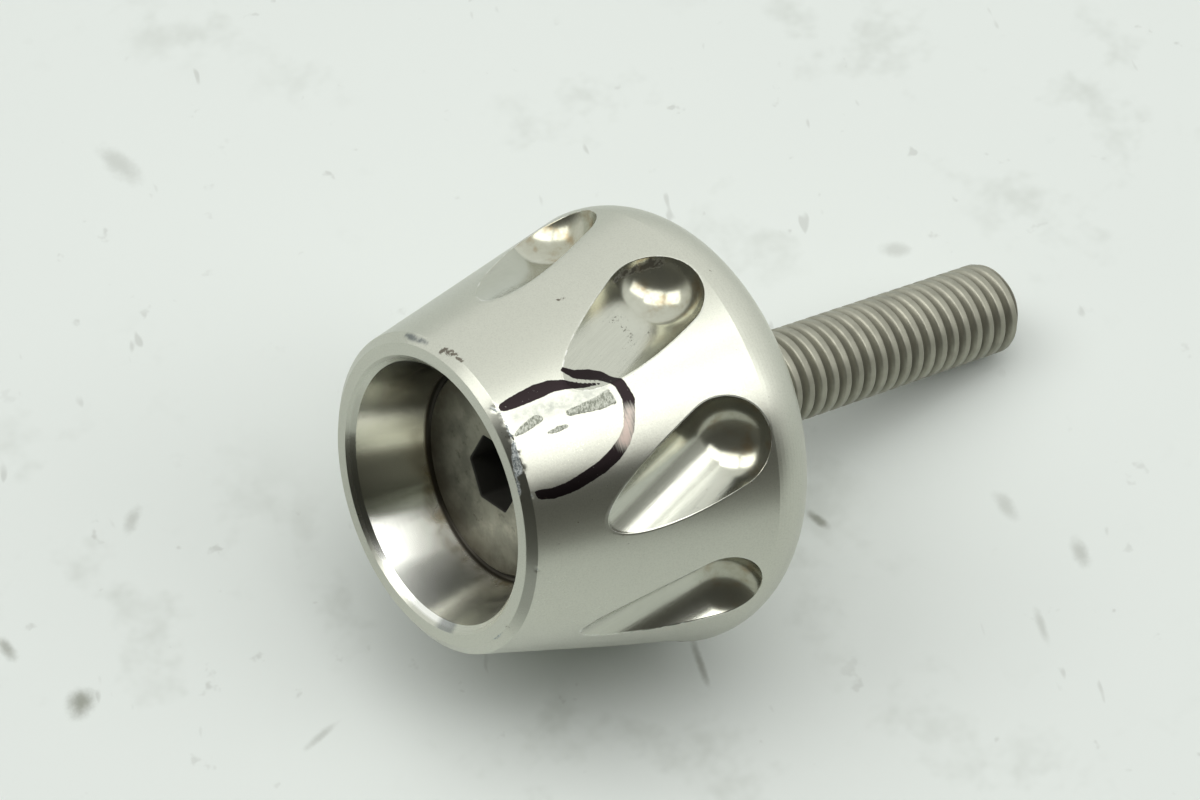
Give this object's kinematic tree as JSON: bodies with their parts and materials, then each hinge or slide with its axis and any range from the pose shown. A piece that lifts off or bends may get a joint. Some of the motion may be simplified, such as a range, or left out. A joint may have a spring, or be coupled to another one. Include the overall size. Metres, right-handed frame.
{
  "type": "bar end weight",
  "caption": "Tapered, fluted steel handlebar end weight with its countersunk socket screw, the open pocket side down.",
  "frame": {"origin": "centre of the open small end's lip, the plane it stands on", "axes": "+Z along the screw from its head to its tip, +X through the middle of the flute that faces the front in the picture"},
  "size_m": [0.0268, 0.0268, 0.0447],
  "materials": {
    "body": "satin, turned, the flutes polished",
    "screw": "satin, lightly worn"
  },
  "bodies": {
    "root": {"weight_body": "body", "screw": "screw"}
  },
  "joints": []
}
